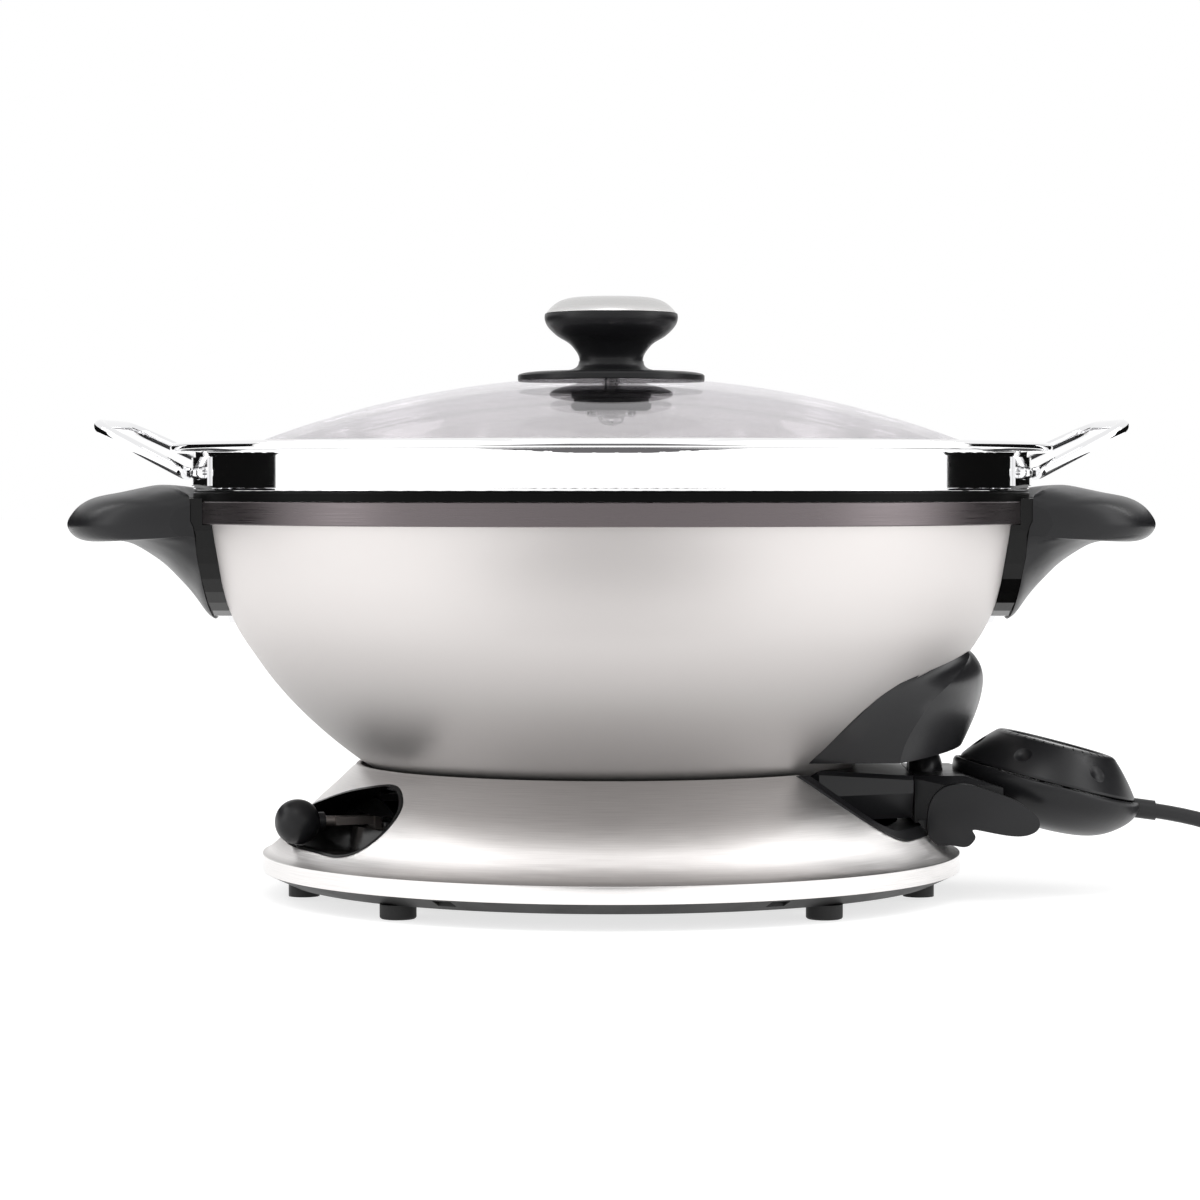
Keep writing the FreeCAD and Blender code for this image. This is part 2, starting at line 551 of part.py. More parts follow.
hood = hood_loft(0.0)
hood_in = hood_loft(3.0, 3.2)
hood = hood.cut(hood_in).cut(box(60, -110, 55, 180, 110, 65.0)).cut(bowl_solid(0.05))
hood = hood.cut(cyl(802.0, 120, (80, 0, 69.0 - 802.0), (1, 0, 0)))
hood = one(hood)
save("connector_hood", hood)
hs = []
for sy in (-1, 1):
    a = math.radians(32 * sy)
    c = V(131.0 * math.cos(a), 131.0 * math.sin(a), 71.0)
    n = V(math.cos(a) * 0.72, math.sin(a) * 0.72, -0.69)
    hs.append(Part.makeCylinder(3.0, 2.0, c, n))
hs = [one(h.cut(bowl_solid(0.05))) for h in hs]
save("hood_screws", group(*hs))

# ------------------------------------------------------------- side handles
HYZ = [(0, 124.8), (12, 125.6), (22, 128.3), (31, 132.3), (40, 137.5), (48, 143.8), (54.5, 151), (58.5, 158), (60.5, 166), (60.8, 176), (59.5, 188),
       (-59.5, 188), (-60.8, 176), (-60.5, 166), (-58.5, 158), (-54.5, 151), (-48, 143.8), (-40, 137.5), (-31, 132.3), (-22, 128.3), (-12, 125.6)]
HANDLE = [(195.8, 180.0), (197.6, 183.4), (200.6, 186.2), (205.0, 187.2), (212.4, 186.4), (225.7, 183.6), (237.6, 180.9), (243.6, 177.4),
          (247.4, 173.0), (248.9, 169.4), (247.2, 165.2), (242.6, 162.2), (235.0, 161.4), (226.5, 161.8), (219.7, 160.6), (212.4, 156.6),
          (204.0, 150.5), (198.0, 144.5), (192.0, 137.9), (187.2, 131.3), (183.8, 127.0), (180.2, 125.1), (175.4, 126.4), (172.0, 134.0),
          (174.5, 150.0), (181.0, 167.0), (189.5, 175.5)]
GRIP = [(0, 1.0, 0.0, 0.0), (9, 0.998, 0.5, 0.02), (18, 0.99, 2.1, 0.1), (27, 0.973, 5.7, 0.25), (35, 0.94, 9.7, 0.5), (42, 0.885, 14.2, 0.9),
        (48, 0.81, 19.0, 1.5), (53, 0.715, 24.4, 2.4), (57, 0.59, 29.6, 3.7), (59.6, 0.44, 33.0, 5.2), (61.0, 0.28, 35.0, 7.0)]


def bowl_r(z):
    if z >= BOWL[0][1]:
        return 188.0
    for (r0, z0), (r1, z1) in zip(BOWL, BOWL[1:]):
        if z1 <= z <= z0:
            return r0 + (r1 - r0) * (z0 - z) / (z0 - z1)
    return BOWL[-1][0]


def grip_section(y, k, rise, drop):
    low = 124.8 + rise
    pts = []
    for x, z in HANDLE:
        d = x - bowl_r(z)
        if z < 161.0:
            z2 = low + (z - 124.8) * (161.0 + 0.4 * drop - low) / (161.0 - 124.8)
        elif z < 171.0:
            z2 = 171.0 - (171.0 - z) * (1 - 0.04 * drop)
        else:
            z2 = 171.0 + (z - 171.0) * (1 - drop / 14.0)
        r = bowl_r(z2) + (d * k if d > 0 else d)
        pts.append(V(math.sqrt(max(r * r - y * y, 1.0)), y, z2))
    return Part.Wire([spline(pts, True).toShape()])


rows = [(-y, k, a, b) for y, k, a, b in GRIP[:0:-1]] + GRIP
handle = Part.makeLoft([grip_section(*r) for r in rows], True, False)
if handle.Volume < 0:
    handle.reverse()
handle = one(handle.cut(bowl_solid(8.3, 192.0)))
HYZ2 = [(y * 0.985, 126.6 + (z - 124.8) * 0.97) for y, z in HYZ]
liner = bowl_solid(8.2, 192.0).common(prism(HYZ2, "x", 120, 215)).cut(bowl_solid(0.05)).cut(cyl(RIM_R + 0.05, 30, (0, 0, 169.3)))
liner = liner.common(box(100, -70, 120, 220, 70, 181.0))
liner = one(liner)
bracket = bowl_solid(2.4).common(box(100, -9, 124.0, 210, 9, 168.8)).cut(bowl_solid(0.06))
bracket = one(bracket)
liner = one(liner.cut(bowl_solid(2.45).common(box(100, -9.05, 120, 210, 9.05, 168.9))))
bolt_dir = V(0.93, 0, -0.37)
bolts = []
for zz, ln in ((158.0, 15.0), (147.0, 11.0)):
    rr = bowl_r(zz)
    bolts.append(Part.makeCylinder(2.4, ln, V(rr + 2.5, 0, zz - 0.6), V(0.94, 0, -0.34)))
bolts = [b.cut(bowl_solid(2.5)) for b in bolts]
for b in bolts:
    liner = one(liner.cut(b))
    handle = one(handle.cut(b))
save("handle_right", handle)
save("handle_left", mirrored_x(handle))
print("handle overlap", handle.common(liner).Volume)
save("handle_liners", group(liner, mirrored_x(liner)))
save("handle_brackets", group(bracket, mirrored_x(bracket)))
save("handle_bolts", group(*(bolts + [mirrored_x(b) for b in bolts])))

# ================================================================ THE STEAMER
T = TRAY_T
tray = rev(("L", [(0, TRAY_FLOOR), (158.0, TRAY_FLOOR)]), ("S", [(158.0, TRAY_FLOOR), (163.0, TRAY_FLOOR + 1.0), (166.5, TRAY_FLOOR + 4.5)]),
           ("L", [(166.5, TRAY_FLOOR + 4.5), (179.8, TRAY_LEDGE - 2.2), (181.2, TRAY_LEDGE), (TRAY_R, TRAY_LEDGE), (TRAY_R + 0.35, TRAY_LEDGE + 0.4),
                  (TRAY_R + 0.35, TRAY_LEDGE + 1.1), (TRAY_R, TRAY_LEDGE + 1.5), (TRAY_R, 199.6)]),
           ("S", [(TRAY_R, 199.6), (191.2, 202.2), (193.0, 204.0), (195.4, 204.9)]),
           ("S", [(195.4, 204.9), (196.6, 203.2), (198.2, 201.9), (199.6, TRAY_RIM_LO), (201.1, 202.5), (TRAY_RIM_R, 203.9), (201.0, 205.3), (199.4, TRAY_RIM_HI), (196.0, 205.9)]),
           ("S", [(196.0, 205.9), (192.4, 204.9), (190.4, 202.8), (TRAY_R - T, 199.6)]),
           ("L", [(TRAY_R - T, 199.6), (TRAY_R - T, TRAY_LEDGE + T), (180.5, TRAY_LEDGE + T), (179.0, TRAY_LEDGE - 1.4), (165.7, TRAY_FLOOR + 5.2)]),
           ("S", [(165.7, TRAY_FLOOR + 5.2), (162.4, TRAY_FLOOR + 1.9), (158.0, TRAY_FLOOR + T)]), ("L", [(158.0, TRAY_FLOOR + T), (0, TRAY_FLOOR + T)]))
holes = []
for rr, n in ((22, 6), (44, 12), (66, 18), (88, 24), (110, 30), (132, 36)):
    for k in range(n):
        a = 2 * math.pi * (k + (0.5 if rr % 44 else 0)) / n
        holes.append(cyl(3.2, 4, (rr * math.cos(a), rr * math.sin(a), TRAY_FLOOR - 1.5)))
holes.append(cyl(3.2, 4, (0, 0, TRAY_FLOOR - 1.5)))
tray = tray.cut(Part.makeCompound(holes))
save("steamer_tray", one(tray))

# wire loop in its own frame: u outward along the side axis, v along the rim
LOOP = [(185.1, 60.9, 192.2), (188.6, 51.0, 192.6), (211.0, 45.0, 203.6), (233.2, 36.0, 214.3), (233.2, -36.0, 214.3), (211.0, -45.0, 203.6), (188.6, -51.0, 192.6), (185.1, -60.9, 192.2)]


def loop_tube():
    pts = []
    for u, v, z in LOOP:
        pts.append(V(u, v, z))
    radii = [5.2, 60.0, 19.0, 19.0, 60.0, 5.2]
    edges, start = [], pts[0]
    for i in range(1, len(pts) - 1):
        a, b = (pts[i - 1] - pts[i]).normalize(), (pts[i + 1] - pts[i]).normalize()
        turn = math.pi - a.getAngle(b)
        rad = radii[i - 1]
        t = rad * math.tan(turn / 2)
        s, e = pts[i] + a * t, pts[i] + b * t
        mid = pts[i] + (a + b).normalize() * (rad / math.cos(turn / 2) - rad)
        edges += [Part.LineSegment(start, s).toShape(), Part.Arc(s, mid, e).toShape()]
        start = e
    edges.append(Part.LineSegment(start, pts[-1]).toShape())
    w = Part.Wire(edges)
    d = (pts[1] - pts[0]).normalize()
    prof = Part.Wire([Part.Circle(pts[0], d, LOOP_WIRE).toShape()])
    s = w.makePipeShell([prof], True, False)
    s = Part.Solid(s) if s.ShapeType != "Solid" else s
    if s.Volume < 0:
        s.reverse()
    return s


loop = loop_tube().cut(cyl(TRAY_R + 1.25, 60, (0, 0, 160)))
loop = one(loop)
right_loop = turned(loop, LOOP_TURN)
save("steamer_loops", group(right_loop, mirrored_x(right_loop)))
plates, rivets = [], []
for sgn in (-1, 1):
    pl = rev(("L", [(TRAY_R + 0.02, 186.6), (TRAY_R + 1.2, 186.6), (TRAY_R + 1.2, 199.4), (TRAY_R + 0.02, 199.4)]), angle=14.0)
    pl = turned(pl, sgn * 20.5 - 7.0)
    for da in (21.3, 25.3):
        a = sgn * da
        head = rev(("L", [(0, 0), (2.9, 0), (2.9, 0.9), (2.3, 2.1), (1.2, 2.8), (0, 2.9)]))
        head.rotate(V(0, 0, 0), V(0, 1, 0), 90)
        head.translate(V(TRAY_R + 1.22, 0, 192.4))
        rivets.append(turned(head, a))
    plates.append(pl)
plates = [turned(p, LOOP_TURN) for p in plates]
rivets = [turned(r, LOOP_TURN) for r in rivets]
save("loop_brackets", group(*(plates + [mirrored_x(p) for p in plates])))
save("loop_rivets", group(*(rivets + [mirrored_x(r) for r in rivets])))


# ==================================================================== THE LID
def dome(r, rad=DOME_R):
    zc = DOME_TOP - DOME_R
    return zc + math.sqrt(rad * rad - r * r)


def dome_line(r0, r1, rad, n=10):
    return [(r0 + (r1 - r0) * k / n, dome(r0 + (r1 - r0) * k / n, rad)) for k in range(n + 1)]


IN = DOME_R - GLASS
glass = rev(("S", dome_line(4.0, LID_R - 0.8, DOME_R)), ("L", [(LID_R - 0.8, dome(LID_R - 0.8)), (LID_R, dome(LID_R) - 0.8), (LID_R, dome(LID_R, IN) + 0.6), (LID_R - 0.7, dome(LID_R - 0.7, IN))]),
            ("S", dome_line(LID_R - 0.7, 4.0, IN)))
save("lid_glass", glass)
band = rev(("L", [(186.9, 185.3), (187.7, 185.9), (187.7, 198.2), (187.0, 199.0), (184.6, 199.2), (182.8, 199.9)]), ("L", [(182.8, 199.2), (184.4, 198.5), (186.0, 198.2), (186.0, 192.0),
            (183.0, 192.0), (182.6, 191.2), (186.4, 191.0), (186.4, 185.5)]))
band = band.cut(rev(("S", dome_line(4.0, LID_R - 0.8, DOME_R + 0.05)), ("L", [(LID_R - 0.8, dome(LID_R - 0.8) + 0.05), (LID_R + 0.05, dome(LID_R) - 0.8), (LID_R + 0.05, dome(LID_R, IN) + 0.5), (LID_R - 0.7, dome(LID_R - 0.7, IN) - 0.05)]),
            ("S", dome_line(LID_R - 0.7, 4.0, IN - 0.05))))
save("lid_band", one(band))

flange_low = dome_line(4.0, 42.4, DOME_R + 0.05, 6)
kf = rev(("S", flange_low), ("L", [(42.9, dome(42.4, DOME_R) + 0.5), (42.9, 237.2), (42.2, 237.9)]), ("S", [(42.2, 237.9), (30.0, 238.9), (19.5, 239.8), (15.6, 241.6), (14.9, 243.8)]),
         ("L", [(14.9, 243.8), (4.0, 243.8)]))
save("knob_flange", kf)
kb = rev(("L", [(0, 262.0), (5.6, 262.0), (5.6, 243.85), (14.6, 243.85)]), ("S", [(14.6, 243.85), (15.1, 246.6), (16.8, 249.3), (19.3, 252.0), (23.9, 254.8), (27.3, 257.6), (29.7, 260.6), (30.6, 263.6), (30.4, 265.6)]),
         ("L", [(30.4, 265.6), (29.3, 265.6), (28.6, 264.6), (0, 264.6)]))
save("lid_knob", kb)
kc = rev(("L", [(0, 264.65), (28.45, 264.65), (29.2, 265.65), (29.8, 265.9)]), ("S", [(29.8, 265.9), (28.0, 268.2), (24.6, 270.9), (19.5, 272.7), (12.0, 273.15), (0.0, 273.2)]))
save("knob_cap", kc)
save("knob_insert", rev(("L", [(3.05, 244.0), (5.55, 244.0), (5.55, 261.9), (0, 261.9), (0, 259.0), (3.05, 259.0)])))
ks = rev(("L", [(3.6, 229.4), (27.0, 229.4), (28.0, 230.0)]), ("S", [(28.0, dome(28.0, IN) - 0.1), (16.0, dome(16.0, IN) - 0.1), (3.6, dome(3.6, IN) - 0.1)]))
save("knob_seal", ks)
save("inner_boss", rev(("L", [(3.6, 221.3), (16.8, 221.3), (18.4, 222.6), (18.4, 224.4), (17.2, 225.0), (17.2, 226.6), (18.4, 227.2), (18.4, 229.35), (3.6, 229.35)])))
nut = rev(("L", [(3.6, 218.3), (10.4, 218.3), (11.3, 219.1), (11.3, 221.25), (3.6, 221.25)]))
for k in range(12):
    a = 2 * math.pi * k / 12
    nut = nut.cut(cyl(1.1, 6, (11.9 * math.cos(a), 11.9 * math.sin(a), 217)))
save("lock_nut", one(nut))
scr = rev(("S", [(0, 214.4), (3.4, 214.9), (5.4, 216.3), (6.2, 218.25)]), ("L", [(6.2, 218.25), (3.0, 218.25), (3.0, 257.0), (0, 257.0)]))
scr = scr.cut(box(-4, -0.6, 213, 4, 0.6, 215.9))
save("lid_screw", one(scr))

# ================================================================ THE CONTROL
tilt = DIAL_TILT


def tilted(s):
    """From the dial's own frame (origin at the centre of its lower face, +z up its axis) to the row frame."""
    t = s.copy()
    t.rotate(V(0, 0, 0), V(0, 1, 0), tilt)
    t.translate(V(DIAL_C[0], 0, DIAL_C[1]))
    return t


# boat under the dial, neck and plug-in tongue
boat = rev(("L", [(0, -0.5), (43.0, -0.5)]), ("S", [(43.0, -0.5), (43.8, -1.5), (43.9, -3.6), (43.3, -6.4), (38.0, -13.5), (29.0, -19.3), (17.0, -22.2), (0, -22.9)]))
boat = tilted(boat)
neck_pts = [(136.5, -40), (136.5, 40), (150, 43.5), (176, 43.5), (176, -43.5), (150, -43.5)]
neck = prism(neck_pts, "z", 35.2, 56.2)
neck = neck.cut(prism([(120, 56.2), (159, 56.2), (176, 51.0), (190, 40), (190, 80), (120, 80)], "y", -60, 60))
for sgn in (-1, 1):
    c = Part.makePolygon([V(130, sgn * 36.0, 58), V(130, sgn * 46.5, 50.0), V(130, sgn * 60, 50), V(130, sgn * 60, 58), V(130, sgn * 36.0, 58)])
    neck = neck.cut(Part.Face(c).extrude(V(60, 0, 0)))
tongue = box(106.0, -29.0, 41.0, 137.0, 29.0, 52.6)
lid_top = tilted(cyl(44.6, 60, (0, 0, -0.45)).fuse(cyl(41.9, 60, (0, 0, -2.95))))
body = fuse(neck, boat).cut(lid_top)
body = fuse(body, tongue)
m1 = FreeCAD.Matrix()
m1.scale(8.6, 15.0, 12.0)
bezel = Part.makeSphere(1.0).transformGeometry(m1)
bezel.translate(V(144.0, 0, 56.0))
body = body.fuse(bezel.common(box(136.7, -40, 55.0, 180, 40, 63.2)))
for sgn in (-1, 1):
    cheek = box(138.0, 40.2, 28.6, 155.4, 43.5, 36.5) if sgn > 0 else box(138.0, -43.5, 28.6, 155.4, -40.2, 36.5)
    body = body.fuse(cheek.cut(cone_solid(1.7)))
# hollow of the boat for the thermostat, under the deck
hollow_b = tilted(rev(("L", [(0, -5.5), (39.6, -5.5), (36.0, -12.0), (27.0, -17.0), (16.0, -19.6), (0, -20.2)])))
body = body.cut(hollow_b)
body = body.cut(tilted(cyl(41.0, 3.0, (0, 0, -5.6))))
for y in (-PIN_Y, PIN_Y):
    body = body.cut(cyl(3.4, 24.0, (105.0, y, PIN_Z), (1, 0, 0)))
body = body.cut(cyl(3.1, 66.0, (105.0, 0, PIN_Z), (1, 0, 0)))
for sgn in (-1, 1):
    body = body.cut(cyl(2.05, 8.0, (EJECT_PIVOT[0], sgn * 43.6 - 4.0, EJECT_PIVOT[1]), (0, 1, 0)))
cord_dir = V(math.cos(math.radians(-7.5)), 0, math.sin(math.radians(-7.5)))
exit_p = V(243.2, 0, 38.2)
gland = Part.makeCylinder(4.6, 12.0, exit_p - cord_dir * 9.0, cord_dir)
body = body.cut(gland)
body = body.common(box(100, -60, 0, 249.2, 60, 90))
save("control_housing", one(body.removeSplitter()))
deck = tilted(cyl(40.95, 2.4, (0, 0, -5.5)).fuse(cyl(9.0, 2.0, (0, 0, -7.4))).cut(cyl(3.65, 20, (0, 0, -12)))).cut(gland)
save("control_deck", one(deck))
save("thermostat", one(tilted(box(-16, -12, -16.5, 10, 12, -8.2))))
save("probe_rod", cyl(3.0, 118.0, (52.0, 0, PIN_Z), (1, 0, 0)).fuse(Part.makeSphere(3.0, V(52.0, 0, PIN_Z))).cut(tilted(box(-17, -13, -17.5, 11, 13, -7))))
save("terminal_sleeves", group(*[cyl(3.35, 19.5, (109.0, y, PIN_Z), (1, 0, 0)).cut(cyl(PIN_R + 0.06, 16.5, (108.0, y, PIN_Z), (1, 0, 0))) for y in (-PIN_Y, PIN_Y)]))
m2 = FreeCAD.Matrix()
m2.scale(5.6, 10.0, 2.3)
lens = Part.makeSphere(1.0).transformGeometry(m2)
lens.translate(V(143.4, 0, 63.22))
lens = lens.cut(box(100, -40, 30, 180, 40, 63.22))
save("indicator_lens", one(lens))

shaft = tilted(cyl(3.6, 20.6, (0, 0, -8.1)))
save("dial_shaft", shaft)
dl = rev(("L", [(0, 5.0), (0, 15.4), (22.6, 15.4), (23.4, DIAL_H - 0.3), (24.4, DIAL_H)]), ("S", [(24.4, DIAL_H), (27.0, 16.5), (28.9, 15.0)]),
         ("S", [(28.9, 15.0), (33.6, 10.2), (37.8, 5.2), (40.6, 1.4)]), ("L", [(40.6, 1.4), (DIAL_R0, 0.4),
         (DIAL_R0 - 0.3, 0.0), (38.0, 0.0), (35.0, 3.4), (24.0, 12.4), (9.0, 12.4), (9.0, 5.0)]))
dl = dl.cut(cyl(3.65, 7.8, (0, 0, 4.8)))
for k in range(6):
    a = math.radians(60 * k)
    n = V(0.727 * math.cos(a), 0.727 * math.sin(a), 0.686)
    c = V(35.0 * math.cos(a), 35.0 * math.sin(a), 8.6)
    dl = dl.cut(Part.makeSphere(7.4, c + n * 6.0))
for k in range(36):
    a = 10.0 * k
    rib = turned(box(24.9, -0.35, 16.2, 27.6, 0.35, 18.0), a)
    dl = dl.cut(rib)
save("dial", one(tilted(dl)))
save("dial_insert", tilted(rev(("L", [(0, 15.45), (22.3, 15.45), (22.3, 15.9), (21.6, 16.2), (0, 16.3)]))))

# two-winged ejector lever, a yoke round the neck
WING = [(141.6, 38.5), (142.6, 44.0), (145.2, 48.8), (148.5, 51.5), (152.5, 53.0), (156.6, 53.4), (161.0, 52.9), (165.5, 51.6), (171.0, 49.8), (176.6, 47.9), (181.5, 45.7),
        (185.6, 43.0), (189.6, 39.6), (191.8, 36.4), (191.6, 33.4), (188.6, 31.0), (182.4, 29.9), (174.0, 30.9), (165.5, 32.6), (161.4, 32.7), (162.6, 30.4), (161.4, 27.2),
        (159.7, 25.7), (152.0, 25.9), (144.4, 26.6), (142.4, 29.5), (141.4, 33.5)]
wings = []
for sgn in (-1, 1):
    w = prism(WING, "y", 44.6 if sgn > 0 else -53.5, 53.5 if sgn > 0 else -44.6, smooth=True)
    w = w.common(Part.makeSphere(70.0, V(166.0, sgn * (53.4 - 70.0), 40.0)))
    wings.append(one(w))
bar = box(158.6, -46, 26.4, 161.0, 46, 31.4)
eject = wings[0].fuse(wings[1]).fuse(bar)
guard = cone_solid(1.3)
eject = eject.cut(guard)
g2 = turned(guard, -EJECT_TRAVEL, (EJECT_PIVOT[0], 0, EJECT_PIVOT[1]), (0, 1, 0))
eject = eject.cut(g2)
for sgn in (-1, 1):
    eject = eject.cut(cyl(2.05, 9.6, (EJECT_PIVOT[0], 42.0 if sgn > 0 else -51.6, EJECT_PIVOT[1]), (0, 1, 0)))
save("eject_lever", one(eject.removeSplitter()))
save("lever_pins", group(*[cyl(2.0, 11.6, (EJECT_PIVOT[0], (39.8 if s > 0 else -51.4), EJECT_PIVOT[1]), (0, 1, 0)) for s in (-1, 1)]))
hsx = []
for lx, ly in ((-24, 0), (14, 26), (14, -26)):
    hsx.append(tilted(cyl(2.6, 1.4, (lx, ly, -3.05)).cut(box(lx - 2, ly - 0.4, -2.1, lx + 2, ly + 0.4, -1))))
save("housing_screws", group(*hsx))

# --------------------------------------------------------------- the cord
ROUTE = [(exit_p.x - 1.9, 0.0, exit_p.z + 0.25), (267.0, 0.2, 35.07), (290.0, 1.0, 26.2), (307.0, 3.6, 13.6), (325.0, 11.2, 3.9)]
BACK = [(exit_p.x - 6.5, 0.0, exit_p.z + 0.856)] + ROUTE[1:]
relief = tube(BACK, 4.5).common(box(230, -10, 20, 250.5, 10, 60)).cut(tube([(exit_p.x - 10.0, 0.0, exit_p.z + 1.317)] + ROUTE[1:], CORD_R + 0.05))
relief = relief.cut(tilted(cyl(41.4, 30, (0, 0, -0.4))))
save("strain_relief", one(relief))
save("cord", tube(ROUTE, CORD_R, report="cord"))
coil = rev(("L", [(COIL_IN, 1.5), (COIL_IN + 1.5, 0.05), (COIL_OUT - 1.5, 0.05), (COIL_OUT, 1.5), (COIL_OUT, COIL_H - 1.5), (COIL_OUT - 1.5, COIL_H), (COIL_IN + 1.5, COIL_H), (COIL_IN, COIL_H - 1.5)]))
coil.translate(V(COIL_C[0], COIL_C[1], 0))
save("cord_coil", coil)
TAIL = [(COIL_C[0] + 47.5, COIL_C[1] + 17.5, 9.3), (COIL_C[0] + 48.1, COIL_C[1] + 33.0, 9.5), (COIL_C[0] + 47.6, COIL_C[1] + 49.7, 9.6)]
save("cord_tail", tube(TAIL, CORD_R, report="cord_tail"))
py0 = COIL_C[1] + 50.0
px = COIL_C[0] + 47.5
plug = Part.makeLoft([prism([(px - 5, 4.6), (px + 5, 4.6), (px + 5, 14.6), (px - 5, 14.6)], "y", py0, py0 + 0.1).Faces[-1].OuterWire,
                      prism([(px - 9, 1.6), (px + 9, 1.6), (px + 9, 17.6), (px - 9, 17.6)], "y", py0 + 12, py0 + 12.1).Faces[-1].OuterWire,
                      prism([(px - 13.5, 0.1), (px + 13.5, 0.1), (px + 13.5, 19.1), (px - 13.5, 19.1)], "y", py0 + 24, py0 + 24.1).Faces[-1].OuterWire,
                      prism([(px - 14.0, 0.1), (px + 14.0, 0.1), (px + 14.0, 19.1), (px - 14.0, 19.1)], "y", py0 + 36, py0 + 36.1).Faces[-1].OuterWire], True, True)
save("plug_body", plug)
py1 = plug.BoundBox.YMax
save("plug_pins", group(box(px - 8.0, py1 + 0.02, 6.3, px - 6.4, py1 + 17, 12.7), box(px + 6.4, py1 + 0.02, 6.3, px + 8.0, py1 + 17, 12.7)))

print("nodes", len(shapes))
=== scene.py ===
import bpy
import math
from mathutils import Vector, Matrix


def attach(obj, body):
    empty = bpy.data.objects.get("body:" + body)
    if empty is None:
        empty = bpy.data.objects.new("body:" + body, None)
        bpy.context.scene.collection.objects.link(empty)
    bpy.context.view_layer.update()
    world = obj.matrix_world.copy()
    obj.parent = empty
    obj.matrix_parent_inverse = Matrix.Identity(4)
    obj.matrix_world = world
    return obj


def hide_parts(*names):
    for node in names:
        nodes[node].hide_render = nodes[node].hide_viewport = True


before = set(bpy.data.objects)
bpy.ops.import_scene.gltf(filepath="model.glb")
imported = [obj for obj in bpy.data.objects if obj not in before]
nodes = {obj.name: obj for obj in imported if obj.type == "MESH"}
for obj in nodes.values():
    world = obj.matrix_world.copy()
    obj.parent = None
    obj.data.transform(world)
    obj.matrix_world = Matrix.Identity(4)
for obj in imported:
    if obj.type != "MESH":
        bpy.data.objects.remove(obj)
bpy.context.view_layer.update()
scene = bpy.context.scene
M = 0.001


# ------------------------------------------------------------------ camera
def look(cam, eye, target):
    d = (Vector(target) - Vector(eye)).normalized()
    cam.location = eye
    cam.rotation_euler = d.to_track_quat("-Z", "Y").to_euler()


cam_data = bpy.data.cameras.new("photo_camera")
cam = bpy.data.objects.new("photo_camera", cam_data)
scene.collection.objects.link(cam)
cam_data.sensor_width = 36.0
cam_data.lens = 109.5
cam_data.clip_start, cam_data.clip_end = 0.05, 60.0
eye = Vector((0.0, -1.679, 0.1849))
yaw, pitch = math.radians(0.176), math.radians(1.73)
aim = eye + Vector((-math.sin(yaw) * math.cos(pitch), math.cos(yaw) * math.cos(pitch), -math.sin(pitch)))
look(cam, eye, aim)
scene.camera = cam
scene.view_settings.view_transform = "Standard"
scene.view_settings.look = "None"


# ------------------------------------------------------------------ helpers
def new_mat(name):
    m = bpy.data.materials.new(name)
    m.use_nodes = True
    nt = m.node_tree
    for n in list(nt.nodes):
        nt.nodes.remove(n)
    out = nt.nodes.new("ShaderNodeOutputMaterial")
    return m, nt, out


def principled(nt, out, color, metallic=0.0, rough=0.5, spec=0.5, coat=0.0, coat_rough=0.1, aniso=0.0):
    b = nt.nodes.new("ShaderNodeBsdfPrincipled")
    b.inputs["Base Color"].default_value = (*color, 1.0)
    b.inputs["Metallic"].default_value = metallic
    b.inputs["Roughness"].default_value = rough
    b.inputs["Specular IOR Level"].default_value = spec
    b.inputs["Coat Weight"].default_value = coat
    b.inputs["Coat Roughness"].default_value = coat_rough
    b.inputs["Anisotropic"].default_value = aniso
    nt.links.new(b.outputs["BSDF"], out.inputs["Surface"])
    return b


def coords(nt, scale):
    tc = nt.nodes.new("ShaderNodeTexCoord")
    mp = nt.nodes.new("ShaderNodeMapping")
    mp.inputs["Scale"].default_value = scale
    nt.links.new(tc.outputs["Object"], mp.inputs["Vector"])
    return mp.outputs["Vector"]


def vary_rough(nt, bsdf, scale, low, high, detail=3.0):
    n = nt.nodes.new("ShaderNodeTexNoise")
    n.inputs["Scale"].default_value = 1.0
    n.inputs["Detail"].default_value = detail
    nt.links.new(coords(nt, scale), n.inputs["Vector"])
    r = nt.nodes.new("ShaderNodeMapRange")
    r.inputs["From Min"].default_value = 0.3
    r.inputs["From Max"].default_value = 0.7
    r.inputs["To Min"].default_value = low
    r.inputs["To Max"].default_value = high
    nt.links.new(n.outputs["Fac"], r.inputs["Value"])
    nt.links.new(r.outputs["Result"], bsdf.inputs["Roughness"])
    return n


def bump(nt, bsdf, scale, strength, distance, detail=2.0):
    n = nt.nodes.new("ShaderNodeTexNoise")
    n.inputs["Scale"].default_value = 1.0
    n.inputs["Detail"].default_value = detail
    nt.links.new(coords(nt, scale), n.inputs["Vector"])
    b = nt.nodes.new("ShaderNodeBump")
    b.inputs["Strength"].default_value = strength
    b.inputs["Distance"].default_value = distance
    nt.links.new(n.outputs["Fac"], b.inputs["Height"])
    nt.links.new(b.outputs["Normal"], bsdf.inputs["Normal"])
    return b


def simple(name, color, metallic=0.0, rough=0.4, spread=0.05, grain=None, **kw):
    m, nt, out = new_mat(name)
    b = principled(nt, out, color, metallic, rough, **kw)
    vary_rough(nt, b, (60, 60, 60), rough - spread, rough + spread)
    if grain:
        bump(nt, b, (grain[0],) * 3, grain[1], grain[2])
    return m


